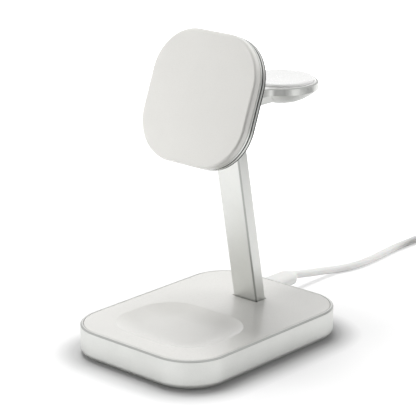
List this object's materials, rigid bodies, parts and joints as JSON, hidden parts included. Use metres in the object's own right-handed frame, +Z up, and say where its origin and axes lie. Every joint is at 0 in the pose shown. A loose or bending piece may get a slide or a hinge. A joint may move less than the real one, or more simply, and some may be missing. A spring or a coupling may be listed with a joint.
{
  "type": "wireless charging stand",
  "caption": "Desk charging stand: weighted base with an earbud dish, leaning flat stem, tilting rounded-square phone pad, and a watch disc on a rear arm, with a plugged-in cable.",
  "frame": {"origin": "on the table under the middle of the base, at the centre of the non-slip pad's lower face", "axes": "+Z up, +Y to the back, where the arm and the cable are, and +X to the right seen from the front"},
  "size_m": [0.09, 0.3173, 0.1617],
  "materials": {
    "blasted_aluminium": "bead blasted and anodised silver, with polished chamfers",
    "soft_grey": "soft-touch moulding, matt",
    "cover_plastic": "fine matt texture",
    "white_plastic": "smooth satin white",
    "grey_rubber": "matt silicone",
    "dark_rubber": "matt dark elastomer",
    "circuit_board": "solder mask",
    "socket_steel": "plated steel",
    "copper": "enamelled copper wire",
    "ferrite": "sintered, matt",
    "magnet": "nickel plated",
    "ribbon_film": "polyimide film",
    "hinge_steel": "satin grey",
    "screw_steel": "zinc plated",
    "cord_white": "matt moulded jacket",
    "tie_fabric": "woven hook-and-loop strip"
  },
  "bodies": {
    "stand": {"base_body": "blasted_aluminium", "top_panel": "soft_grey", "bottom_cover": "cover_plastic", "foot_pad": "grey_rubber", "cover_screws": "screw_steel", "ballast_plate": "screw_steel", "ballast_screws": "screw_steel", "base_board": "circuit_board", "usb_socket": "socket_steel", "earbud_coil": "copper", "earbud_ferrite": "ferrite", "stem": "blasted_aluminium", "stem_cap": "blasted_aluminium", "stem_screws": "screw_steel", "stem_ribbon": "ribbon_film", "hinge_bracket": "hinge_steel", "hinge_screws": "screw_steel", "hinge_bolt": "screw_steel", "hinge_nut": "screw_steel", "hinge_washers": "screw_steel", "arm_frame": "blasted_aluminium", "arm_cover": "white_plastic", "arm_screws": "screw_steel", "watch_disc": "white_plastic", "watch_coil": "copper", "watch_magnet": "magnet", "watch_ferrite": "ferrite", "watch_board": "circuit_board", "plug_shell": "socket_steel", "plug_grip": "cord_white", "cord_lead": "cord_white", "cord_coil": "cord_white", "cord_tail": "cord_white", "cord_tie": "tie_fabric", "far_grip": "cord_white", "far_shell": "socket_steel"},
    "phone_head": {"pad_cap": "soft_grey", "head_frame": "blasted_aluminium", "head_seals": "dark_rubber", "rear_cover": "cover_plastic", "rear_screws": "screw_steel", "head_knuckle": "hinge_steel", "knuckle_screws": "screw_steel", "phone_magnets": "magnet", "phone_coil": "copper", "phone_ferrite": "ferrite", "head_board": "circuit_board"}
  },
  "joints": [
    {"name": "phone_tilt", "type": "hinge", "parent": "stand", "child": "phone_head", "pos_m": [0, 0.0034, 0.122], "axis": [-1, 0, 0], "range_deg": [-20, 22]}
  ]
}
